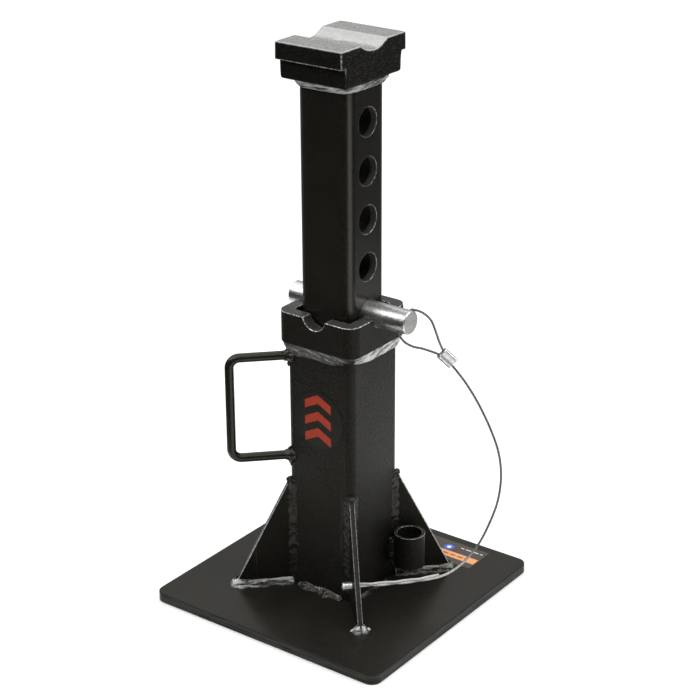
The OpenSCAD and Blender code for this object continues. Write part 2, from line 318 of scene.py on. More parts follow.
def zinc_material(name, tone, rough, lengthwise=(1, 1, 1), grain=0.5, turned=False):
    """Plated steel with cloudy plating, a rough grain and dark handling spots. With turned,
    its square ends show the rings of the lathe."""
    m = Tree(name)
    cloud = m.noise(70, 5, 0.7, at=m.stretched(*lengthwise), distortion=0.4)
    fine = m.noise(640, 5, 0.75, at=m.stretched(*lengthwise))
    colour = m.mix(m.span(cloud, 0.3, 0.7), (tone * 0.78,) * 3, (tone, tone, tone * 0.985))
    spots = m.span(m.noise(480, 5, 0.75), 0.56, 0.68)
    colour = m.mix(m.times(spots, 0.6), colour, (0.12, 0.118, 0.112))
    layers = [(fine, grain, 0.0005), (cloud, 0.15, 0.0005)]
    if turned:
        _, y, z = m.split(m.place)
        end = m.span(m.math("ABSOLUTE", m.split(m.normal)[0]), 0.85, 0.95)
        away = m.distance(y, m.math("SUBTRACT", z, PIN_Z))
        rings = m.math("SINE", m.times(away, LATHE_RINGS))
        layers.append((m.times(rings, end), 0.25, 0.0001))
        colour = m.mix(m.times(end, 0.5), colour, (0.46, 0.458, 0.45))
    m.set(Base_Color=colour, Metallic=1.0,
          Roughness=m.span(fine, 0.3, 0.7, rough - 0.05, rough + 0.13))
    m.bump(*layers)
    return m.material


def rope_material():
    """Stranded steel wire, dark where it hangs and pale low down along the plate."""
    m = Tree("wire_rope")
    grime = m.noise(700, 4, 0.7)
    low = m.span(m.split(m.place)[2], 0.085, 0.056)
    hung = m.mix(m.span(grime, 0.35, 0.65), (0.07, 0.0695, 0.067), (0.22, 0.219, 0.211))
    laid = m.mix(m.span(grime, 0.35, 0.65), (0.36, 0.358, 0.346), (0.76, 0.756, 0.74))
    m.set(Base_Color=m.mix(low, hung, laid), Metallic=0.6,
          Roughness=m.span(grime, 0.3, 0.7, 0.34, 0.5))
    m.bump((m.noise(3000, 2, 0.6), 0.3, 0.0001))
    return m.material


def decal_material():
    """Black vinyl disc with three plain red chevrons."""
    m = Tree("round_decal")
    x, _, z = m.split(m.place)
    across = m.times(m.math("SUBTRACT", x, DECAL_X), 1 / DECAL_R)
    height = m.times(m.math("SUBTRACT", z, DECAL_Z), 1 / DECAL_R)
    side = m.math("ABSOLUTE", across)
    slope = m.math("ADD", height, m.times(side, 0.52))
    slope = m.math("SUBTRACT", slope, 0.10)
    band = m.math("FRACT", m.math("ADD", m.times(slope, 1.75), 0.42))
    stripe = m.times(m.span(band, 0.25, 0.27), m.span(band, 0.79, 0.77))
    inside = m.times(m.span(side, 0.52, 0.505),
                     m.times(m.span(slope, -0.75, -0.74), m.span(slope, 0.90, 0.89)))
    red = m.times(stripe, inside)
    scuff = m.span(m.noise(300, 4, 0.65), 0.3, 0.75)
    vinyl = m.mix(scuff, (0.006, 0.0057, 0.0048), (0.014, 0.0135, 0.0115))
    ink = m.mix(scuff, (0.24, 0.022, 0.008), (0.36, 0.036, 0.014))
    away = m.distance(across, height)
    rim = m.times(m.span(away, 0.925, 0.94), m.span(away, 0.985, 0.97))
    colour = m.mix(m.times(rim, 0.5), m.mix(red, vinyl, ink), (0.003, 0.0029, 0.0024))
    m.set(Base_Color=colour, Roughness=m.span(scuff, 0.0, 1.0, 0.34, 0.44), Specular_IOR_Level=0.2,
          Specular_Tint=WARM)
    m.bump((m.noise(500, 2, 0.5), 0.12, 0.0003))
    return m.material


def label_material():
    """Vinyl label: brown panel, plain orange band, blue dot and short white bars."""
    m = Tree("safety_label")
    x, y, _ = m.split(m.place)

    def between(value, low, high, soft=0.0002):
        return m.times(m.span(value, low - soft, low + soft),
                       m.span(value, high + soft, high - soft))

    def area(x1, x2, y1, y2):
        """1 inside a rectangle on the plate, in metres."""
        return m.times(between(x, x1, x2), between(y, y1, y2))

    scuff = m.noise(420, 4, 0.65)
    colour = m.mix(m.span(scuff, 0.3, 0.7), (0.042, 0.033, 0.027), (0.066, 0.052, 0.044))
    orange = m.mix(m.span(scuff, 0.3, 0.7), (0.66, 0.27, 0.09), (0.80, 0.38, 0.16))
    colour = m.mix(area(0.027, 0.1035, 0.1055, 0.117), colour, orange)
    dashes = m.math("GREATER_THAN", m.math("FRACT", m.times(x, 105)), 0.22)
    lines = m.times(area(0.036, 0.092, 0.1095, 0.1128), dashes)
    colour = m.mix(m.times(lines, 0.75), colour, (0.09, 0.06, 0.045))
    bars = m.times(area(0.072, 0.101, 0.1292, 0.1308), dashes)
    colour = m.mix(bars, colour, (0.62, 0.62, 0.60))
    away = m.distance(m.math("SUBTRACT", x, 0.0588), m.math("SUBTRACT", y, 0.1246))
    colour = m.mix(m.span(away, 0.0062, 0.0059), colour, (0.055, 0.12, 0.52))
    colour = m.mix(m.span(away, 0.0027, 0.0024), colour, (0.8, 0.82, 0.86))
    m.set(Base_Color=colour, Roughness=m.span(scuff, 0.3, 0.7, 0.3, 0.42), Specular_IOR_Level=0.4)
    m.bump((m.noise(600, 2, 0.5), 0.15, 0.0002))
    return m.material


DEEP, SHEER = (0.0042, 0.0039, 0.0028), (0.0080, 0.0076, 0.0058)     # the enamel's two tones
WELD_BLACK, RING_BLACK = (0.010, 0.0097, 0.0082), (0.020, 0.0195, 0.017)
BLACK = paint_material("black_paint", DEEP, SHEER, 0.38, peel=1.0, drawn=0.6)
BORE = paint_material("bore_paint", (0.034, 0.0333, 0.030), (0.056, 0.055, 0.050), 0.30, peel=0.6,
                      specular=0.4)
INNER_PAINT = paint_material("tube_paint", DEEP, SHEER, 0.27, peel=0.15, specular=0.4)
HANDLE = paint_material("handle_paint", DEEP, SHEER, 0.22, peel=0.25, specular=0.36)
# the plate's level top is paler in patches, partly dust and partly painted light from above
PLATE = paint_material("plate_paint", DEEP, SHEER, 0.27, peel=0.12, top=(0.0125, 0.0119, 0.0098),
                       specular=0.24)
COLLAR = paint_material("collar_paint", DEEP, SHEER, 0.36, peel=0.8, specular=0.12)
COLLAR_TOP = sawn_material("collar_top", (0.005, 0.0048, 0.0038), (0.070, 0.069, 0.064))
PLATE_SIDE = sawn_material("plate_side", (0.001, 0.0009, 0.0006), (0.046, 0.0452, 0.0410), 0.12,
                           level=0.04)
RAW_CUT = sawn_material("cut_edge_paint", (0.004, 0.0038, 0.003), (0.030, 0.0295, 0.0265))
EDGE = worn_edge_material("worn_edge", (0.020, 0.0195, 0.0170), (0.30, 0.295, 0.28), 0.60)
PLATE_EDGE = worn_edge_material("plate_edge", (0.0035, 0.0033, 0.0026), (0.22, 0.217, 0.205), 0.66,
                                specular=0.2)
BRIGHT_EDGE = worn_edge_material("bright_edge", (0.03, 0.029, 0.027), (0.80, 0.795, 0.775), 0.46)
RIM_EDGE = worn_edge_material("rim_edge", (0.030, 0.0295, 0.027), (0.42, 0.415, 0.40), 0.42, 200)
HOLE_RIM = worn_edge_material("hole_rim", (0.03, 0.0295, 0.027), (0.40, 0.397, 0.385), 0.46, 240)
CUT_LINE = worn_edge_material("cut_line", (0.070, 0.069, 0.065), (0.60, 0.595, 0.575), 0.42, 620)
# The welds' pale streaks and glints are painted highlights. bright_weld and dim_weld are lit and
# shaded copies of one weld, and so are bright_ring_weld and smooth_ring_weld.
WELD = weld_material("painted_weld", WELD_BLACK, (0.17, 0.168, 0.158), 0.58, 0.20, 0.40)
GLOSS_WELD = weld_material("gloss_weld", (0.009, 0.0086, 0.007), (0.07, 0.069, 0.064), 0.58,
                           0.16, 0.5)
WELD_ROUGH = weld_material("rough_weld", WELD_BLACK, (0.46, 0.457, 0.445), 0.55, 0.24, grain=0.55)
ALONG_FEET = {"turn": (0, 0, -45), "grain": 0.2}
WELD_BRIGHT = weld_material("bright_weld", RING_BLACK, (0.54, 0.537, 0.525), 0.43, 0.2,
                            strokes=(0.20, 1.2, 1.2), twirl=0.5, **ALONG_FEET)
WELD_DIM = weld_material("dim_weld", (0.012, 0.0116, 0.0098), (0.30, 0.297, 0.285), 0.50, 0.14,
                         0.6, strokes=(0.25, 1.2, 1.2), twirl=0.8, **ALONG_FEET)
ALL_ROUND = (-1.4, -0.6)                      # painted highlight streaks on faces that turn any way
RING_SMOOTH = weld_material("smooth_ring_weld", RING_BLACK, (0.17, 0.168, 0.16), 0.48, 0.2,
                            strokes=(0.20, 0.20, 1.3), turn=(0, -16, 0), grain=0.08,
                            up=ALL_ROUND, corner=0.012)
RING_BRIGHT = weld_material("bright_ring_weld", RING_BLACK, (0.62, 0.616, 0.60), 0.42, 0.2,
                            strokes=(0.25, 0.25, 1.2), turn=(-30, 0, 0), grain=0.12,
                            up=ALL_ROUND, corner=0.009)
SADDLE_RING = weld_material("saddle_ring_weld", (0.05, 0.049, 0.046), (0.36, 0.357, 0.345), 0.42,
                            0.24, strokes=(0.16, 0.16, 1.5), turn=(-8, 8, 0), grain=0.05,
                            up=ALL_ROUND)
CAST = cast_material()
ZINC = zinc_material("zinc_plate", 0.70, 0.27, (0.6, 1, 1), 0.6, turned=True)
SLEEVE = zinc_material("ferrule_metal", 0.80, 0.36, grain=0.2)
ROPE = rope_material()
DECAL = decal_material()
LABEL = label_material()

# ---------------------------------------------------------------- mesh helpers


def add_piece(name, mesh, body, stands_for, materials, sharp=38.0, weighted=False):
    """Puts a finished mesh in the scene as a piece of that body."""
    for material in materials:
        mesh.materials.append(material)
    mesh.shade_smooth()
    mesh.set_sharp_from_angle(angle=math.radians(sharp))
    obj = bpy.data.objects.new(name, mesh)
    scene.collection.objects.link(obj)
    if weighted:
        obj.modifiers.new("flat faces", "WEIGHTED_NORMAL").keep_sharp = True
    if body:
        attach(obj, body)
    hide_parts(*stands_for)
    return obj


def mesh_from(name, points, faces):
    mesh = bpy.data.meshes.new(name)
    mesh.from_pydata([tuple(p) for p in points], [], faces)
    mesh.validate()
    return mesh


def clean_copy(node):
    """The CAD node's solid with its facets merged into whole faces."""
    bm = bmesh.new()
    bm.from_mesh(nodes[node].data)
    for face in bm.faces:
        face.material_index = 0
    bmesh.ops.remove_doubles(bm, verts=bm.verts, dist=2e-5)
    bmesh.ops.dissolve_limit(bm, angle_limit=math.radians(1.2), verts=bm.verts, edges=bm.edges)
    return bm


def bevel(bm, width, segments, chosen, angle=32, clamp=True):
    """Rounds the chosen edges that turn by more than angle degrees. Returns the new faces."""
    edges = [e for e in bm.edges if e.is_manifold and
             e.calc_face_angle(0) > math.radians(angle) and chosen(e)]
    return bmesh.ops.bevel(bm, geom=edges, offset=width, segments=segments, profile=0.5,
                           affect="EDGES", clamp_overlap=clamp)["faces"]


def repaint(index, chosen):
    """Gives the chosen faces another material, apart from those that a bevel made."""
    def finish(bm):
        for face in bm.faces:
            if face.material_index == 0 and chosen(face):
                face.material_index = index
    return finish


def bevelled(node, body, materials, passes, sharp=38.0, finish=None, clamp=True):
    """A piece with the CAD node's form and rounded edges.
    passes are (width, segments, material index, which edges), in order."""
    bm = clean_copy(node)
    for width, segments, index, chosen in passes:
        for face in bevel(bm, width, segments, chosen, clamp=clamp):
            face.material_index = index
    if finish:
        finish(bm)
    mesh = bpy.data.meshes.new(node + "_body")
    bm.to_mesh(mesh)
    bm.free()
    return add_piece(node + "_body", mesh, body, [node], materials, sharp, True)


def anywhere(_):
    return True


def middle(edge):
    return (edge.verts[0].co + edge.verts[1].co) / 2


def strips(rings, around, capped=False):
    """Faces between rings of points, each ring closed on itself, and over both ends."""
    faces = [(i * around + k, i * around + (k + 1) % around,
              (i + 1) * around + (k + 1) % around, (i + 1) * around + k)
             for i in range(rings - 1) for k in range(around)]
    if capped:
        faces.append(tuple(range(around - 1, -1, -1)))
        faces.append(tuple((rings - 1) * around + k for k in range(around)))
    return faces


def wobble(p, scale, seed=0.0):
    """Smooth noise from -1 to 1 at a point; scale is features per metre."""
    return noise.noise(Vector((p[0] * scale + seed, p[1] * scale - seed, p[2] * scale + 2 * seed)))


TOE_DEPTH, ROOT_DEPTH = 0.25 * MM, 0.6 * MM   # how far a bead's edges and root sink in


def bead(stations, across=11, ripple=0.0, pitch=4 * MM, lean=0.5, rough=0.0, fine=0.0,
         scallop=0.0, end=5 * MM, seed=0.0):
    """Points and faces of one weld bead in an inside corner.
    A station is (corner point, unit vector up one side, unit vector up the other, leg on the
    first, leg on the second, crown)."""
    points = []
    run = [0.0]
    for a, b in zip(stations, stations[1:]):
        run.append(run[-1] + (Vector(b[0]) - Vector(a[0])).length
                   + (Vector(b[2]) - Vector(a[2])).length * b[4] * 0.5)
    for i, (corner, up_a, up_b, leg_a, leg_b, crown) in enumerate(stations):
        corner, up_a, up_b = Vector(corner), Vector(up_a), Vector(up_b)
        swell = 1.0
        near = min(run[i], run[-1] - run[i]) / end
        if near < 1:
            swell = max(0.12, math.sqrt(near * (2 - near)))
        out = (up_a + up_b).normalized()
        for k in range(across):
            u = k / (across - 1)
            arch = math.sin(math.pi * u)
            p = corner + up_a * (leg_a * swell * (1 - u)) + up_b * (leg_b * swell * u)
            drift = run[i] / pitch + 0.9 * noise.noise(Vector((run[i] * 45, seed, 1)))
            phase = drift + lean * (1 - arch) + 0.35 * wobble(p, 90, seed)
            spread = scallop * (abs(math.sin(math.pi * (drift + lean))) - 0.6)
            p += (up_a * (leg_a * (1 - u)) + up_b * (leg_b * u)) * spread * (1 - arch)
            lift = crown * swell * arch
            lift += ripple * (abs(math.sin(math.pi * phase)) - 0.55) * min(1.0, 2.2 * arch)
            lift += rough * wobble(p, 150, seed + 3) * (0.35 + arch)
            lift += fine * wobble(p, 520, seed + 7) * (0.25 + arch)
            p = p + out * lift
            if k == 0:
                p -= up_b * TOE_DEPTH
            if k == across - 1:
                p -= up_a * TOE_DEPTH
            points.append(p)
        points.append(corner - out * ROOT_DEPTH)
    return points, strips(len(stations), across + 1, capped=True)


def lump(centre, radii, seed=0.0, rough=0.12, fine=0.04):
    """An irregular blob of weld."""
    bm = bmesh.new()
    bmesh.ops.create_icosphere(bm, subdivisions=4, radius=1.0)
    points = []
    for v in bm.verts:
        d = v.co.normalized()
        size = 1 + rough * wobble(d, 1.6, seed) * 1.6 + fine * wobble(d, 6.0, seed + 5) * 1.6
        local = Vector((d.x * radii[0], d.y * radii[1], d.z * radii[2])) * size
        points.append(Vector(centre) + local)
    faces = [tuple(v.index for v in f.verts) for f in bm.faces]
    bm.free()
    return points, faces


def gathered(name, parts, body, stands_for, materials, sharp=80.0):
    """One piece from several (points, faces, material index)."""
    points, faces, indices = [], [], []
    for part in parts:
        shift = len(points)
        points += part[0]
        faces += [tuple(i + shift for i in f) for f in part[1]]
        indices += [part[2] if len(part) > 2 else 0] * len(part[1])
    mesh = mesh_from(name, points, faces)
    mesh.polygons.foreach_set("material_index", indices)
    bm = bmesh.new()
    bm.from_mesh(mesh)
    bmesh.ops.recalc_face_normals(bm, faces=bm.faces)
    bm.to_mesh(mesh)
    bm.free()
    return add_piece(name, mesh, body, stands_for, materials, sharp)


def frames_along(path):
    """Tangent, side and up at each point of a path, turning as little as possible."""
    path = np.asarray(path, float)
    tangent = np.gradient(path, axis=0)
    tangent /= np.linalg.norm(tangent, axis=1)[:, None]
    side = np.cross(tangent[0], (0.0, 0.0, 1.0))
    if np.linalg.norm(side) < 1e-3:
        side = np.cross(tangent[0], (0.0, 1.0, 0.0))
    sides = [side / np.linalg.norm(side)]
    for t in tangent[1:]:
        s = sides[-1] - t * (sides[-1] @ t)
        sides.append(s / np.linalg.norm(s))
    sides = np.array(sides)
    return tangent, sides, np.cross(tangent, sides)


def tube(path, radius, around=12):
    """Points and faces of a closed-ended tube."""
    path = np.asarray(path, float)
    _, side, up = frames_along(path)
    angle = 2 * math.pi * np.arange(around) / around
    ring = (np.cos(angle)[None, :, None] * side[:, None, :]
            + np.sin(angle)[None, :, None] * up[:, None, :])
    points = path[:, None, :] + ring * radius
    return [Vector(p) for p in points.reshape(-1, 3)], strips(len(path), around, capped=True)


def blend_point(a, b, c, d, t):
    """A point between b and c on a Catmull-Rom curve."""
    return 0.5 * (2 * b + (c - a) * t + (2 * a - 5 * b + 4 * c - d) * t * t
                  + (3 * b - a - 3 * c + d) * t ** 3)


def smooth_route(route, steps):
    """The curve that part.scad draws through the same points, more finely."""
    p = [np.array(q, float) for q in route]
    out = []
    for i in range(len(p) - 1):
        a, d = p[max(i - 1, 0)], p[min(i + 2, len(p) - 1)]
        out += [blend_point(a, p[i], p[i + 1], d, k / steps) for k in range(steps)]
    return np.array(out + [p[-1]])


def distances(path):
    """Each point's distance along the path from its first one."""
    return np.concatenate([[0], np.cumsum(np.linalg.norm(np.diff(path, axis=0), axis=1))])


def even(path, step):
    """The path again, with points an even step apart."""
    along = distances(path)
    at = np.linspace(0, along[-1], max(2, int(round(along[-1] / step)) + 1))
    return np.stack([np.interp(at, along, path[:, k]) for k in range(3)], axis=1)


def length_of(path):
    return float(np.linalg.norm(np.diff(path, axis=0), axis=1).sum())


def rope(path, radius, lay=13 * MM, strands=6, start=0.0):
    """A wire rope's six strands round a core, laid along the path."""
    path = np.asarray(path, float)
    _, side, up = frames_along(path)
    along = distances(path) + start
    strand = radius * 0.36
    parts = [tube(path, strand, 6)]
    for s in range(strands):
        angle = 2 * math.pi * (along / lay + s / strands)
        centre = path + (radius - strand) * (np.cos(angle)[:, None] * side
                                             + np.sin(angle)[:, None] * up)
        parts.append(tube(centre, strand, 7))
    return parts


# ---------------------------------------------------------------- lanyard

WIRE_D = 2.6 * MM
WIRE_HOLE_Z = 49 * MM                         # the front gusset's hole above the floor
PLANE_D = 88.4 * MM                           # the lanyard's plane from the column's axis
CABLE_ROUTE = [[-3.2, 48], [4, 48], [18, 47.5], [36, 47.5], [57, 48], [77, 49.5], [92, 52],
               [104, 57], [119, 69], [134, 89], [145, 113], [153, 138], [156, 166], [153, 194],
               [144, 222], [130, 253.5], [115.3, 279.5], [101.2, 299.5]]
TAIL_ROUTE = [[-3.2, 50.7], [4, 50.7], [18, 50.2], [36, 50.2], [57, 50.7], [76, 52.2], [90, 54.6]]
LOOP_ROUTE = [[123.7, -1.3, 313.5], [115, -4.2, 315.8], [106, -6, 317], [97, -8, 317.4],
              [88.5, -9.6, 320], [83.6, -10.3, 324], [80.6, -9.8, 328.8], [80, 0, 338.9],
              [80.5, 9.8, 348], [84, 12.8, 348.2], [88.5, 13.2, 348.1], [94, 12.4, 347.7],
              [101, 11.2, 345.8], [108, 9, 342.2], [114, 7, 334], [120.4, 4.3, 325],
              [126.8, 1.8, 317.8]]
FERRULE_MID = (95.7 * MM, 308.5 * MM)         # the loop's sleeve, along the plane and up
FERRULE_TILT = math.radians(46)
FERRULE_LEN = 18 * MM
LEAVE_Z, SPLIT_Z, ARRIVE_Z = 0.056, 0.19, 0.298   # heights on the cable: its two lengths meet at the second, and the first and the third go only into make_cord's blend, which does not read them
                                              # the column at the second, where its two
                                              # lengths meet, and the pin above the third
RUN = np.array([1, 1, 0]) / math.sqrt(2)      # along the lanyard's plane
FACE = np.array([1, -1, 0]) / math.sqrt(2)    # out of it


def on_plane(route):
    """Route points [distance, height] in millimetres, in the row frame in metres."""
    return np.array([FACE * PLANE_D + RUN * s * MM + RISE * z * MM for s, z in route])


def twisted(path, turn, reach, amplitude, other):
    """Lays the path beside the other one, rolling a little round the line between them, until
    reach along it."""
    along = (path - path[0]) @ RUN
    share = np.clip((reach - along) / (12 * MM), 0, 1)
    share = share * share * (3 - 2 * share)
    near = np.array([other[np.argmin(np.linalg.norm(other - p, axis=1))] for p in path])
    middle_line = (path + near) / 2
    angle = math.pi / 2 + 0.5 * np.sin(2 * math.pi * along / (26 * MM)) + turn
    wound = middle_line + amplitude * (np.cos(angle)[:, None] * FACE
                                       + np.sin(angle)[:, None] * RISE)
    return path * (1 - share[:, None]) + wound * share[:, None]


def make_cord(name, path, body, node, blend=None, start=0.0):
    """One rope along the path, riding a body. With blend, its transform is baked into its mesh;
    the bodies and heights in blend are not read.
    """
    obj = gathered(name, rope(path, WIRE_D / 2, start=start), body, [node], [ROPE])
    if blend:
        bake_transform(obj)


def into_sleeve(path, last=True):
    """The path, run on straight into the loop's sleeve at its last or its first end."""
    path = path if last else path[::-1]
    heading = (path[-1] - path[-4]) / np.linalg.norm(path[-1] - path[-4])
    longer = np.vstack([path, [path[-1] + heading * 0.75 * MM * k for k in range(1, 5)]])
    return longer if last else longer[::-1]


def make_lanyard():
    """The cable in two lengths, its tail wound beside it, and the loop through the pin."""
    cable = into_sleeve(even(smooth_route(on_plane(CABLE_ROUTE), 12), 0.75 * MM))
    tail = even(smooth_route(on_plane(TAIL_ROUTE), 12), 0.75 * MM)
    wound_cable = twisted(cable, math.pi, 90 * MM, WIRE_D / 2, tail)
    wound_tail = twisted(tail, 0.0, 200 * MM, WIRE_D / 2, cable)
    cut = int(np.argmax(wound_cable[:, 2] > SPLIT_Z))
    lower, upper = wound_cable[: cut + 1], wound_cable[cut:]
    x, y, _ = wound_cable[cut]
    first, split, last = ((x, y, z) for z in (LEAVE_Z, SPLIT_Z, ARRIVE_Z))
    make_cord("lanyard_cable_lower", lower, None, "lanyard_cable",
              blend=("base", "column", first, split))
    make_cord("lanyard_cable_upper", upper, None, "lanyard_cable",
              blend=("column", "pin", split, last), start=length_of(lower))
    make_cord("lanyard_tail_rope", wound_tail, "base", "lanyard_tail")
    loop = even(smooth_route(np.array(LOOP_ROUTE) * MM, 12), 0.7 * MM)
    loop = into_sleeve(into_sleeve(loop), last=False)
    make_cord("lanyard_loop_rope", loop, "pin", "lanyard_loop")


def make_loop_ferrule():
    """Crimped double sleeve: a figure-of-eight section, hollowed a little at both ends."""
    axis = RUN * math.cos(FERRULE_TILT) - RISE * math.sin(FERRULE_TILT)
    cross = RUN * math.sin(FERRULE_TILT) + RISE * math.cos(FERRULE_TILT)
    centre = FACE * PLANE_D + RUN * FERRULE_MID[0] + RISE * FERRULE_MID[1]
    barrel, apart = 3.6 * MM, 3.1 * MM

    def arc(first, last, shift):
        turns = (2 * math.pi * k / 72 for k in range(first, last))
        return [(barrel * math.cos(a), barrel * math.sin(a) + shift) for a in turns]

    web = [(barrel * (0.66 + 0.34 * abs(t) ** 1.5), t * apart)
           for t in np.linspace(-1, 1, 15)[1:-1]]
    section = web + arc(0, 37, apart) + [(-u, v) for u, v in web[::-1]] + arc(37, 72, -apart)
    n = len(section)

    def ring(along, wide, tall):
        mid = centre + axis * along
        return [Vector(mid + FACE * u * wide + cross * v * tall) for u, v in section]

    points = []
    shares = np.linspace(0, 1, 41)
    for t in shares:
        edge = min(t, 1 - t) * FERRULE_LEN
        rounding = 1 - 0.14 * max(0.0, 1 - edge / (0.8 * MM)) ** 2
        crimp = 1 - 0.02 * (0.5 - 0.5 * math.cos(2 * math.pi * t * 3)) * (0.1 < t < 0.9)
        size = rounding * crimp
        points += ring(FERRULE_LEN * (t - 0.5), size, 0.5 + 0.5 * size)
    faces = strips(len(shares), n)
    for base, sign in ((0, -1), ((len(shares) - 1) * n, 1)):
        inner = len(points)
        end = FERRULE_LEN * 0.5 * sign
        points += ring(end, 0.62, 0.84) + ring(end - sign * 1.2 * MM, 0.5, 0.8)
        for k in range(n):
            m = (k + 1) % n
            faces.append((base + k, base + m, inner + m, inner + k))
            faces.append((inner + k, inner + m, inner + n + m, inner + n + k))
        faces.append(tuple(inner + n + k for k in range(n)))
    gathered("loop_ferrule_sleeve", [(points, faces)], "pin", ["loop_ferrule"],
             [SLEEVE], 45)


def make_stop_ferrule():
    """The crimped stop behind the front gusset, with a shallow hollow in its end."""
    profile = [(0.0, 0.0), (3.4, 0.0), (4.2, 0.25), (4.6, 0.9), (4.6, 2.2), (4.5, 3.2),
               (4.48, 4.0), (4.58, 5.0), (4.6, 6.0), (4.48, 7.0), (4.5, 8.0), (4.6, 9.2),
               (4.6, 10.4), (4.2, 11.2), (3.3, 11.5), (1.6, 11.5), (1.4, 10.6), (0.0, 10.6)]
    start = FACE * PLANE_D - RUN * 3.2 * MM + RISE * WIRE_HOLE_Z
    points, faces = spun(profile, start, -RUN, FACE, RISE, 40, dents=0.035)
    gathered("stop_ferrule_sleeve", [(points, faces)], "base", ["stop_ferrule"],
             [SLEEVE], 45)


def spun(profile, start, axis, side, up, around, dents=0.0):
    """A turned form: profile is (radius, distance) in millimetres along the axis."""
    points = []
    for radius, along in profile:
        for k in range(around):
            a = 2 * math.pi * k / around
            r = radius * MM * (1 + dents * math.cos(6 * a) * (1.5 < along < 10))
            points.append(Vector(start + axis * along * MM
                                 + r * (math.cos(a) * side + math.sin(a) * up)))
    bm = bmesh.new()
    verts = [bm.verts.new(p) for p in points]
    for f in strips(len(profile), around):
        bm.faces.new([verts[i] for i in f])
    bmesh.ops.remove_doubles(bm, verts=bm.verts, dist=1e-6)
    bm.verts.index_update()
    out = [v.co.copy() for v in bm.verts], [tuple(v.index for v in f.verts) for f in bm.faces]
    bm.free()
    return out


make_lanyard()
make_loop_ferrule()
make_stop_ferrule()

# ---------------------------------------------------------------- plates, columns, collar


def level(edge, z, tolerance=0.2 * MM):
    return all(abs(v.co.z - z) < tolerance for v in edge.verts)


def faces_up(face):
    return face.normal.z > 0.2


def make_base():
    """The plate, the outer column and the notched collar."""
    bevelled("base_plate", "base", [PLATE, PLATE_EDGE, PLATE_SIDE],
             [(0.9 * MM, 3, 1, anywhere)], finish=repaint(2, lambda f: abs(f.normal.z) < 0.3))
    bevelled("outer_column", "base", [BLACK, EDGE],
             [(0.5 * MM, 2, 1, anywhere)])

    def collar_top(edge):
        return level(edge, COLLAR_HIGH)

    def notch(edge):
        return middle(edge).z > COLLAR_LOW + 5 * MM and not collar_top(edge)

    bevelled("top_collar", "base", [COLLAR, EDGE, BRIGHT_EDGE, COLLAR_TOP],
             [(0.7 * MM, 3, 2, lambda e: collar_top(e) or notch(e)),
              (0.8 * MM, 2, 1, lambda e: level(e, COLLAR_LOW))],
             finish=repaint(3, faces_up))


def make_gussets():
    """Four plates, whose sloping edges show the cut."""
    for name in ("gusset_front", "gusset_left", "gusset_right", "gusset_rear"):
        bevelled(name, "base", [BLACK, CUT_LINE, RAW_CUT],
                 [(0.75 * MM, 2, 1, anywhere)], finish=repaint(2, faces_up))


def make_handle():
    """One round bar, out from the column, up and back, in the left gusset's plane."""
    start, reach, bend = CORNER_D - 1 * MM, 121.8 * MM, 11 * MM
    (low, high), r = HANDLE_ENDS, 5 * MM
    flat = [(start, low), (reach - bend, low)]
    flat += [(reach - bend + bend * math.sin(a), low + bend - bend * math.cos(a))
             for a in np.linspace(0, math.pi / 2, 13)[1:]]
    flat += [(reach - bend + bend * math.cos(a), high - bend + bend * math.sin(a))
             for a in np.linspace(0, math.pi / 2, 13)]
    flat += [(start, high)]
    path = []
    for (d1, z1), (d2, z2) in zip(flat, flat[1:]):
        steps = max(1, int(math.hypot(d2 - d1, z2 - z1) / (6 * MM)))
        path += [HANDLE_ALONG * (d1 + (d2 - d1) * k / steps) + RISE * (z1 + (z2 - z1) * k / steps)
                 for k in range(steps)]
    path.append(HANDLE_ALONG * flat[-1][0] + RISE * flat[-1][1])
    gathered("carry_handle_bar", [tube(path, r, 32)], "base", ["carry_handle"],
             [HANDLE], 60)


def make_column():
    """The inner column, with worn rims round its cross holes and paler paint in them."""
    holes = [HOLE_LOW + HOLE_PITCH * i for i in range(5)]

    def rim(edge):
        p = middle(edge)
        return abs(abs(p.x) - INNER) < 0.3 * MM and any(
            abs(math.hypot(p.y, p.z - z) - HOLE_R) < 0.8 * MM for z in holes)

    def in_bore(face):
        p = face.calc_center_median()
        inside = max(abs(p.x), abs(p.y)) < INNER - 0.3 * MM
        return inside and math.hypot(p.x, p.y) < INNER + 3 * MM

    bevelled("inner_column", "column", [INNER_PAINT, EDGE, HOLE_RIM, BORE],
             [(0.45 * MM, 2, 2, rim),
              (0.6 * MM, 2, 1, lambda e: level(e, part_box("inner_column")[0].z))],
             finish=repaint(3, in_bore), clamp=False)


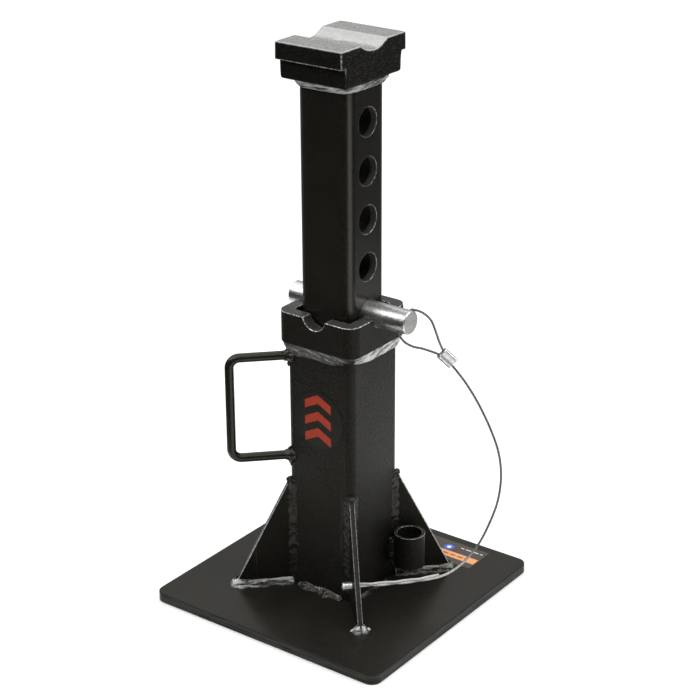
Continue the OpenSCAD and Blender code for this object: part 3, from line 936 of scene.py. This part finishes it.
def make_saddle():
    """The casting: rounded edges, then a fine even mesh with the casting's own unevenness."""
    bm = clean_copy("saddle")
    corners = [[np.array(v.co) for v in e.verts] for e in bm.edges
               if e.is_manifold and e.calc_face_angle_signed(0) > math.radians(20)]

    def upright_low(edge):
        p = middle(edge)
        return abs(edge.verts[0].co.z - edge.verts[1].co.z) > 8 * MM and p.z < SADDLE_LOW + 20 * MM

    bevel(bm, 3.0 * MM, 3, lambda e: upright_low(e) or level(e, SADDLE_LOW), angle=40)
    bevel(bm, 0.8 * MM, 3, anywhere, angle=40)
    mesh = bpy.data.meshes.new("saddle_casting")
    bm.to_mesh(mesh)
    bm.free()
    source = bpy.data.objects.new("saddle_source", mesh)
    scene.collection.objects.link(source)
    remesh = source.modifiers.new("even", "REMESH")
    remesh.mode, remesh.voxel_size, remesh.adaptivity = "VOXEL", 0.8 * MM, 0.0
    smooth = source.modifiers.new("settle", "SMOOTH")
    smooth.factor, smooth.iterations = 0.5, 1
    bpy.context.view_layer.update()
    done = bpy.data.meshes.new_from_object(
        source.evaluated_get(bpy.context.evaluated_depsgraph_get()))
    bpy.data.objects.remove(source)
    count = len(done.vertices)
    place, normal = np.zeros(count * 3, np.float32), np.zeros(count * 3, np.float32)
    done.vertices.foreach_get("co", place)
    done.vertices.foreach_get("normal", normal)
    place, normal = place.reshape(-1, 3), normal.reshape(-1, 3)
    lift = np.array([0.22 * MM * wobble(p, 110, 1.0) + 0.09 * MM * wobble(p, 420, 4.0)
                     for p in place]) - 0.1 * MM
    place += normal * lift[:, None]
    lo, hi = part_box("saddle")
    place = np.clip(place, np.array(lo), np.array(hi))
    nearest = np.full(count, 1.0)
    for a, b in corners:
        along = b - a
        share = np.clip((place - a) @ along / (along @ along), 0, 1)
        nearest = np.minimum(nearest, np.linalg.norm(place - a - share[:, None] * along, axis=1))
    # how near each point is to an edge, for the edges' wear and painted highlight
    edge_wear_and_highlight = done.attributes.new("edge_wear_and_highlight", "FLOAT", "POINT")
    edge_wear_and_highlight.data.foreach_set("value", np.clip(1.6 - nearest / (0.9 * MM), 0, 1).astype(np.float32))
    done.vertices.foreach_set("co", place.astype(np.float32).ravel())
    done.update()
    done.materials.clear()
    done.name = "saddle_casting"
    add_piece("saddle_casting", done, "column", ["saddle"], [CAST], 180)


def make_pin():
    def rim(edge):
        """Of both ends, and of the wire's cross hole."""
        p = middle(edge)
        return abs(p.x) > 60 * MM and math.hypot(p.y, p.z - PIN_Z) > 11 * MM

    bevelled("support_pin", "pin", [ZINC, ZINC], [(0.3 * MM, 2, 1, rim)], sharp=30)


def make_socket():
    bevelled("pin_socket", "base", [BLACK, RIM_EDGE],
             [(0.4 * MM, 2, 1, anywhere)])


make_base()
make_gussets()
make_handle()
make_column()
make_saddle()
make_pin()
make_socket()

# ---------------------------------------------------------------- welds


def welded(name, parts, materials, body="base"):
    """A weld's piece, named after its node with one more word."""
    gathered(name, parts, body, [name[:name.rindex("_")]], materials)


def ring_around(half, radius, step=0.8 * MM):
    """Points round a square with rounded corners, each with its outward direction and the
    number of its side."""
    out = []
    flat = half - radius
    for quarter in range(4):
        turn = quarter * math.pi / 2
        c, s = math.cos(turn), math.sin(turn)

        def put(x, y, nx, ny):
            out.append((Vector((x * c - y * s, x * s + y * c, 0)),
                        Vector((nx * c - ny * s, nx * s + ny * c, 0)), quarter))

        for x in np.arange(-flat, flat, step):
            put(x, -half, 0, -1)
        count = max(3, int(radius * math.pi / 2 / step))
        for k in range(count):
            a = math.pi / 2 * k / count
            put(flat + radius * math.sin(a), -flat - radius * math.cos(a), math.sin(a),
                -math.cos(a))
    return out


def weld_ring(name, body, half, radius, z, down, out, slack, materials, sides):
    """One bead along each side, running round the corner into the next, thinner toward the
    front corner by slack. sides holds each side's (share of the leg, ripple, pitch, lean,
    roughness), and the materials alternate."""
    ring = ring_around(half, radius)
    count = len(ring)
    parts = []
    for quarter, (share, ripple, pitch, lean, rough) in enumerate(sides):
        mine = [i for i, entry in enumerate(ring) if entry[2] == quarter]
        stations = []
        for i in range(mine[0] - 10, mine[-1] + 3):
            p, n, _ = ring[i % count]
            front = max(0.0, (p.x - p.y) / half - 1.0)
            leg = down * share * (1 - slack * front ** 2) * (1 + 0.12 * wobble(p, 34, quarter + z))
            stations.append((p + UP * z, -UP, n, leg,
                             out * (1 + 0.08 * wobble(p, 45, 9)), 0.9 * MM))
        parts.append((*bead(stations, across=15, ripple=ripple * MM, pitch=pitch * MM, lean=lean,
                            rough=rough * MM, fine=0.1 * MM, end=9 * MM, seed=quarter + z),
                      quarter % len(materials)))
    welded(name, parts, materials, body)


def foot_beads():
    """Two long runs along each side of a gusset's foot, one on the other, the upper one round
    its tip. The front gusset has them at its tip only."""
    parts = []
    for number, angle in enumerate(GUSSET_ANGLES):
        g = Vector((math.cos(angle), math.sin(angle), 0))
        first = GUSSET_REACH - 8 * MM if number == 0 else 56 * MM
        for side in (1, -1):
            t = Vector((-math.sin(angle), math.cos(angle), 0)) * side
            seed = number * 2.3 + side
            upper, lower = [], []
            for d in np.arange(first, GUSSET_REACH - 1 * MM, 0.7 * MM):
                tip = max(0.0, 1 - (GUSSET_REACH - d) / (14 * MM))
                size = (4.8 + 2.2 * tip + 1.1 * noise.noise(Vector((d * 70, seed, 0)))) * MM
                upper.append((g * d + t * GUSSET_HALF + UP * PLATE_T, UP, t,
                              size * 1.25, size * 0.85, 0.6 * MM))
                shift = (4.6 + 1.6 * noise.noise(Vector((d * 45, seed, 5)))) * MM
                size = (2.6 + 1.3 * tip + 0.9 * noise.noise(Vector((d * 80, seed, 8)))) * MM
                lower.append((g * d + t * (GUSSET_HALF + shift) + UP * PLATE_T, UP, t,
                              size * 0.9, size * 1.3, 0.6 * MM))
            for k in range(16):
                a = math.radians(104) * (k + 1) / 16
                heading = t * math.cos(a) + g * math.sin(a)
                at = (g * (GUSSET_REACH - 1 * MM + 1.2 * MM * math.sin(a))
                      + t * (GUSSET_HALF * (1 - 0.9 * (k + 1) / 16)))
                upper.append((at + UP * PLATE_T, UP, heading, 7.4 * MM, 6.2 * MM,
                              1.0 * MM))
            # the right gusset's feet get the shaded copy, dim_weld
            dim = int(number == 2)
            parts.append((*bead(upper, ripple=0.15 * MM, pitch=27 * MM, lean=2.6, rough=0.8 * MM,
                                fine=0.08 * MM, end=3 * MM, seed=seed), dim))
            parts.append((*bead(lower, ripple=0.15 * MM, pitch=31 * MM, lean=2.0, rough=0.7 * MM,
                                fine=0.08 * MM, scallop=0.15, end=7 * MM, seed=seed + 9), dim))
    welded("weld_gusset_feet_beads", parts, [WELD_BRIGHT, WELD_DIM])


def column_base_beads():
    """Low, spattered runs round the column's foot."""
    parts = []
    for quarter in range(4):
        a = quarter * math.pi / 2
        out = Vector((math.sin(a), -math.cos(a), 0))
        along = Vector((math.cos(a), math.sin(a), 0))
        faint = quarter == 1
        share = 0.55 if faint else 1.0
        stations = []
        for x in np.arange(-31 * MM, 31 * MM, 0.6 * MM):
            size = share * (5.4 + 1.8 * noise.noise(Vector((x * 70, quarter * 3.1, 0)))) * MM
            spread = 1.35 + 0.5 * noise.noise(Vector((x * 160, quarter * 1.3, 4)))
            stations.append((out * COLUMN + along * x + UP * PLATE_T, UP, out,
                             size, size * spread, -0.6 * MM))
        parts.append((*bead(stations, across=13, rough=share * MM, fine=0.75 * share * MM,
                            scallop=0.12, end=15 * MM, seed=quarter * 1.7), int(faint)))
    welded("weld_column_base_beads", parts, [WELD_ROUGH, WELD])


def gusset_column_beads():
    """Upright runs of overlapping rounds, with a lump over each gusset's top."""
    parts = []
    for number, angle in enumerate(GUSSET_ANGLES):
        g = Vector((math.cos(angle), math.sin(angle), 0))
        for side in (1, -1):
            t = Vector((-math.sin(angle), math.cos(angle), 0)) * side
            down_column = (g * -0.70 + t * 0.714).normalized()
            stations = []
            seed = number * 3.7 + side
            for z in np.arange(19 * MM, GUSSET_TOP, 0.7 * MM):
                swell = 1 + 0.10 * noise.noise(Vector((z * 75, seed, 2)))
                stations.append((g * (CORNER_D - 0.2 * MM) + t * GUSSET_HALF + UP * z, g,
                                 down_column, 4.6 * MM * swell, 8.4 * MM * swell, 0.5 * MM))
            parts.append(bead(stations, across=13, ripple=0.6 * MM, pitch=10 * MM, lean=1.3,
                              rough=0.8 * MM, fine=0.15 * MM, scallop=0.36, end=6 * MM,
                              seed=seed))
        parts.append(lump(g * (CORNER_D + 1.6 * MM) + UP * (GUSSET_TOP - 2.6 * MM),
                          (4.6 * MM, 4.4 * MM, 3.3 * MM), seed=number + 0.4))
    welded("weld_gusset_column_beads", parts, [WELD])


def handle_welds():
    """A short ragged cone round each end of the handle, with a knob above and a run below."""
    parts = []
    along = HANDLE_ALONG
    side = np.array([-along[1], along[0], 0])
    for number, z in enumerate(HANDLE_ENDS):
        profile = [(0.0, 0.0), (9.0, 0.0), (9.0, 3.0), (8.6, 4.2), (7.7, 5.4), (6.8, 6.8),
                   (6.2, 8.2), (5.8, 9.6), (5.4, 10.6), (4.8, 11.2), (4.0, 11.2)]
        start = along * (CORNER_D - 4 * MM) + RISE * z
        points, faces = spun(profile, start, along, side, RISE, 56)
        moved = []
        for p in points:
            off = p - Vector(start)
            depth = off.dot(Vector(along))
            arm = off - Vector(along) * depth
            if arm.length > 4.5 * MM and depth > 1 * MM:
                p = p + arm.normalized() * (1.3 * MM * wobble(p, 150, number + 2)
                                            + 0.4 * MM * wobble(p, 420, 5)) * (depth < 11 * MM)
            moved.append(p)
        parts.append((moved, faces))
        knob = Vector(along * (CORNER_D + 0.6 * MM) + RISE * (z + 7.2 * MM))
        parts.append(lump(knob, (2.6 * MM, 3.2 * MM, 2.6 * MM), seed=number + 1.3, rough=0.3))
        run = Vector(along * (CORNER_D - 0.4 * MM) + RISE * (z - 8.6 * MM))
        parts.append(lump(run, (2.0 * MM, 3.4 * MM, 4.6 * MM), seed=number + 4.1, rough=0.25))
    welded("weld_handle_beads", parts, [GLOSS_WELD])


def socket_welds():
    """Upright runs that hold the socket to the column and to the right gusset."""
    parts = []
    stations = []
    for z in np.arange(36 * MM, 64 * MM, 0.7 * MM):
        stations.append((Vector((46 * MM, 31 * MM, z)), Vector((-0.35, -0.937, 0)),
                         Vector((0.66, -0.75, 0)), 8.6 * MM, 7.6 * MM, 1.0 * MM))
    parts.append(bead(stations, ripple=0.5 * MM, pitch=5 * MM, rough=0.7 * MM, fine=0.3 * MM,
                      seed=4.4))
    parts.append(lump((46.2 * MM, 25.5 * MM, 62 * MM), (2.8 * MM, 2.6 * MM, 2.4 * MM), seed=2.2))
    g = Vector((math.sqrt(0.5), math.sqrt(0.5), 0))
    t = Vector((math.sqrt(0.5), -math.sqrt(0.5), 0))
    stations = []
    for z in np.arange(36 * MM, 65 * MM, 0.7 * MM):
        stations.append((g * 74 * MM + t * GUSSET_HALF + UP * z, g,
                         (g * 0.82 + t * 0.57).normalized(), 6.0 * MM, 6.5 * MM, 0.6 * MM))
    parts.append(bead(stations, ripple=0.5 * MM, pitch=5 * MM, rough=0.6 * MM, fine=0.3 * MM,
                      seed=8.8))
    welded("weld_socket_beads", parts, [WELD])


# the collar's ±x sides get the lit copy, bright_ring_weld, and its ±y sides the shaded one
weld_ring("weld_collar_bead", "base", COLUMN, COLUMN_R, COLLAR_LOW, 12.0 * MM,
          6.8 * MM, 0.46, [RING_SMOOTH, RING_BRIGHT],
          [(1.22, 0.5, 24, 5.0, 0.6), (1.18, 0.9, 8, 2.6, 0.8),
           (1.0, 0.5, 20, 4.0, 0.5), (1.15, 0.8, 9, 2.2, 0.6)])
weld_ring("weld_saddle_bead", "column", INNER, INNER_R, SADDLE_LOW, 9.6 * MM,
          7.4 * MM, 0.20, [SADDLE_RING],
          [(1.0, 1.0, 30, 6.0, 0.5), (0.95, 1.3, 17, 3.0, 0.5),
           (1.0, 1.0, 24, 4.5, 0.4), (0.95, 1.1, 20, 4.0, 0.4)])
foot_beads()
column_base_beads()
gusset_column_beads()
handle_welds()
socket_welds()

# ---------------------------------------------------------------- decals

for name, material, slot in (("round_decal", DECAL, "decal"), ("safety_label", LABEL, "label")):
    bm = clean_copy(name)
    bevel(bm, 0.1 * MM, 2, anywhere, angle=math.degrees(1.0))
    mesh = bpy.data.meshes.new(name + "_vinyl")
    bm.to_mesh(mesh)
    bm.free()
    add_piece(name + "_vinyl", mesh, "base", [name], [material], 38, True)

# ---------------------------------------------------------------- floor, light


def make_floor():
    """A plain pale floor. Only the part near the object shows in its reflections."""
    m = Tree("floor")
    tone = m.mix(m.span(m.noise(2.0, 3, 0.5), 0.3, 0.7), (0.90, 0.90, 0.90), (0.91, 0.91, 0.91))
    m.set(Base_Color=tone, Roughness=0.9, Specular_IOR_Level=0.0)
    whole = 6.0
    inner = [(-0.40, -0.36, 0), (0.15, -0.36, 0), (0.36, -0.52, 0), (0.62, -0.52, 0),
             (0.62, 0.75, 0), (-0.40, 0.75, 0)]
    outer = [(-whole, -whole, 0), (whole, -whole, 0), (whole, whole, 0), (-whole, whole, 0)]
    near = mesh_from("floor_near", inner, [tuple(range(6))])
    far = mesh_from("floor_far", inner + outer,
                    [(6, 7, 2, 1, 0), (7, 3, 2), (7, 8, 4, 3), (8, 9, 5, 4), (9, 6, 0, 5)])
    for mesh in (near, far):
        mesh.materials.append(m.material)
        floor = bpy.data.objects.new(mesh.name, mesh)
        floor.location.z = -0.0003
        scene.collection.objects.link(floor)
        floor.visible_glossy = mesh is near


def softbox(name, place, size, power, aim=(0, 0, 0.3)):
    data = bpy.data.lights.new(name, "AREA")
    data.shape, data.size, data.size_y = "RECTANGLE", size[0], size[1]
    data.energy = power
    obj = bpy.data.objects.new(name, data)
    obj.location = place
    obj.visible_camera = False
    obj.rotation_euler = (Vector(aim) - Vector(place)).to_track_quat("-Z", "Y").to_euler()
    scene.collection.objects.link(obj)


CEILING, WALL, BACK_WALL, FRONT_GLOW = 1.75, 0.03, 0.40, 2.0     # the world's brightnesses


def make_world():
    """A bright ceiling, dim walls that are lighter behind the object, and white where it shows."""
    world = bpy.data.worlds.new("studio")
    scene.world = world
    world.use_nodes = True
    t = world.node_tree
    t.nodes.clear()

    def made(kind, *inputs, **settings):
        return new_node(t, kind, dict(enumerate(inputs)), **settings)

    def facing(*direction):
        return made("VectorMath", toward, direction, operation="DOT_PRODUCT")["Value"]

    toward = made("TexCoord")["Generated"]
    height = made("SeparateXYZ", toward)[2]
    ceiling = made("MapRange", height, 0.45, 0.80, 0.0, CEILING)[0]
    behind = facing(-0.62, 0.78, 0.0)
    back = made("MapRange", behind, 0.1, 0.95, WALL, BACK_WALL)[0]
    low = facing(0.893, -0.223, -0.391)
    glow = made("MapRange", low, 0.90, 0.99, 0.0, FRONT_GLOW)[0]
    level_light = made("Math", ceiling, back, operation="ADD")[0]
    level_light = made("Math", level_light, glow, operation="ADD")[0]
    lit = made("Background", (1, 1, 1, 1), level_light)[0]
    seen = made("Background", (1, 1, 1, 1), 1.0)[0]
    camera_ray = made("LightPath")["Is Camera Ray"]
    mixed = made("MixShader", camera_ray, lit, seen)[0]
    made("OutputWorld", mixed)


make_floor()
make_world()
softbox("right", (1.7, 0.9, 1.5), (1.0, 1.0), 20)
softbox("front_left", (-1.5, -1.3, 1.9), (0.7, 0.9), 12)
softbox("front", (0.5, -1.9, 2.3), (0.6, 0.5), 14)
scene.view_settings.view_transform = "Standard"
scene.view_settings.look = "None"
